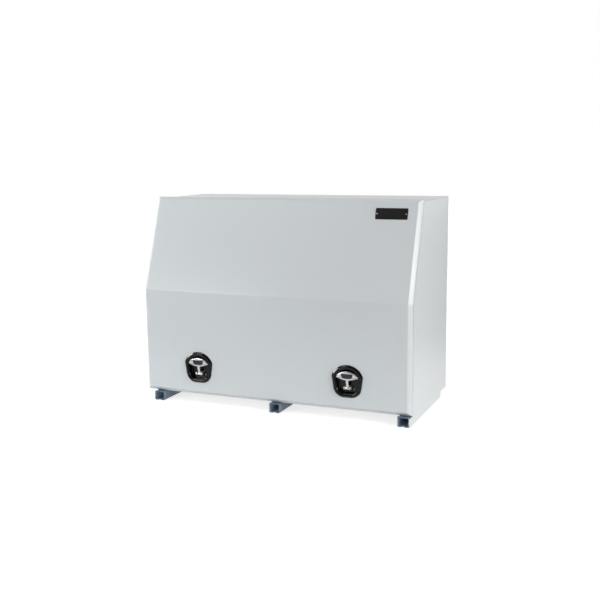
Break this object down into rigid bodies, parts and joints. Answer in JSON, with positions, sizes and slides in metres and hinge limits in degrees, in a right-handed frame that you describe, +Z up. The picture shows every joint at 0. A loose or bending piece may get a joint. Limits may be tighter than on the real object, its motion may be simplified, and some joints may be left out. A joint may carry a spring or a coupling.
{
  "type": "ute tool box",
  "caption": "White steel ute tool box with a kinked lift-up front door on a piano hinge, folding T-handle locks, gas struts and channel feet",
  "frame": {"origin": "centre of the bounding box in plan, on the ground plane under the feet", "axes": "+X to the right seen from the front, +Y to the back, +Z up; the door faces -Y"},
  "size_m": [1.22, 0.579, 0.8923],
  "materials": {
    "white_powder_coat": "white gloss powder coat on sheet steel",
    "white_inner_coat": "white powder coat, duller inside",
    "galvanised_steel": "galvanised, grey and slightly dull",
    "chrome": "bright chrome plated casting",
    "gloss_black_plastic": "gloss black",
    "dark_cover_plastic": "dark glossy key cover",
    "dark_strut_paint": "black satin paint",
    "seal_rubber": "matt black rubber",
    "name_plate_black": "black plate, bare",
    "plain_steel": "plain bright steel"
  },
  "bodies": {
    "box": {"top_panel": "white_powder_coat", "back_panel": "white_powder_coat", "floor_panel": "white_inner_coat", "side_panel_left": "white_powder_coat", "side_panel_right": "white_powder_coat", "front_frame": "white_powder_coat", "door_seal": "seal_rubber", "hinge_leaf_body": "galvanised_steel", "hinge_pin": "galvanised_steel", "foot_channel_left": "galvanised_steel", "foot_channel_centre": "galvanised_steel", "foot_channel_right": "galvanised_steel", "foot_bolt_left": "galvanised_steel", "foot_bolt_centre": "galvanised_steel", "foot_bolt_right": "galvanised_steel", "floor_rivet_left_front": "galvanised_steel", "floor_rivet_left_rear": "galvanised_steel", "floor_rivet_centre_front": "galvanised_steel", "floor_rivet_centre_rear": "galvanised_steel", "floor_rivet_right_front": "galvanised_steel", "floor_rivet_right_rear": "galvanised_steel", "strut_bracket_body_left": "galvanised_steel", "strut_bracket_body_right": "galvanised_steel"},
    "door": {"door_skin": "white_powder_coat", "door_hinge_rail": "white_inner_coat", "hinge_leaf_door": "galvanised_steel", "door_stiffener_left": "white_inner_coat", "door_stiffener_centre": "white_inner_coat", "door_stiffener_right": "white_inner_coat", "strut_bracket_door_left": "galvanised_steel", "strut_bracket_door_right": "galvanised_steel", "name_plate": "name_plate_black", "name_rivet_left": "plain_steel", "name_rivet_right": "plain_steel", "lock_dish_left": "gloss_black_plastic", "lock_clamp_left": "galvanised_steel", "lock_screw_left_outer": "plain_steel", "lock_screw_left_inner": "plain_steel", "lock_dish_right": "gloss_black_plastic", "lock_clamp_right": "galvanised_steel", "lock_screw_right_outer": "plain_steel", "lock_screw_right_inner": "plain_steel"},
    "lock_spindle_left_body": {"lock_spindle_left": "chrome", "lock_pivot_pin_left": "chrome", "lock_cam_left": "galvanised_steel", "lock_cam_nut_left": "galvanised_steel"},
    "lock_handle_left_body": {"lock_handle_left": "chrome", "lock_cover_left": "dark_cover_plastic"},
    "strut_cylinder_left_body": {"strut_cylinder_left": "dark_strut_paint"},
    "strut_rod_left_body": {"strut_rod_left": "plain_steel"},
    "lock_spindle_right_body": {"lock_spindle_right": "chrome", "lock_pivot_pin_right": "chrome", "lock_cam_right": "galvanised_steel", "lock_cam_nut_right": "galvanised_steel"},
    "lock_handle_right_body": {"lock_handle_right": "chrome", "lock_cover_right": "dark_cover_plastic"},
    "strut_cylinder_right_body": {"strut_cylinder_right": "dark_strut_paint"},
    "strut_rod_right_body": {"strut_rod_right": "plain_steel"}
  },
  "joints": [
    {"name": "door_hinge", "type": "hinge", "parent": "box", "child": "door", "pos_m": [0, -0.11163, 0.88836], "axis": [-1, 0, 0], "range_deg": [0, 72]},
    {"name": "lock_left_turn", "type": "hinge", "parent": "door", "child": "lock_spindle_left_body", "pos_m": [-0.343, -0.2735, 0.134], "axis": [0, 1, 0], "range_deg": [0, 90]},
    {"name": "lock_left_lift", "type": "hinge", "parent": "lock_spindle_left_body", "child": "lock_handle_left_body", "pos_m": [-0.343, -0.2735, 0.134], "axis": [1, 0, 0], "range_deg": [0, 90]},
    {"name": "strut_left_swing", "type": "hinge", "parent": "box", "child": "strut_cylinder_left_body", "pos_m": [-0.555, 0.0905, 0.76], "axis": [-1, 0, 0], "range_deg": [0, 19.8]},
    {"name": "strut_left_slide", "type": "slide", "parent": "strut_cylinder_left_body", "child": "strut_rod_left_body", "axis": [0, -0.9985, -0.0547], "range_m": [0, 0.143]},
    {"name": "lock_right_turn", "type": "hinge", "parent": "door", "child": "lock_spindle_right_body", "pos_m": [0.343, -0.2735, 0.134], "axis": [0, -1, 0], "range_deg": [0, 90]},
    {"name": "lock_right_lift", "type": "hinge", "parent": "lock_spindle_right_body", "child": "lock_handle_right_body", "pos_m": [0.343, -0.2735, 0.134], "axis": [1, 0, 0], "range_deg": [0, 90]},
    {"name": "strut_right_swing", "type": "hinge", "parent": "box", "child": "strut_cylinder_right_body", "pos_m": [0.555, 0.0905, 0.76], "axis": [-1, 0, 0], "range_deg": [0, 19.8]},
    {"name": "strut_right_slide", "type": "slide", "parent": "strut_cylinder_right_body", "child": "strut_rod_right_body", "axis": [0, -0.9985, -0.0547], "range_m": [0, 0.143]}
  ],
  "couplings": [
    {"joint": "lock_left_lift", "follows": "lock_left_turn", "ratio": 1},
    {"joint": "strut_left_swing", "follows": "door_hinge", "ratio": 0.268},
    {"joint": "strut_left_slide", "follows": "door_hinge", "m_per_rad": 0.113},
    {"joint": "lock_right_lift", "follows": "lock_right_turn", "ratio": 1},
    {"joint": "strut_right_swing", "follows": "door_hinge", "ratio": 0.268},
    {"joint": "strut_right_slide", "follows": "door_hinge", "m_per_rad": 0.113}
  ]
}
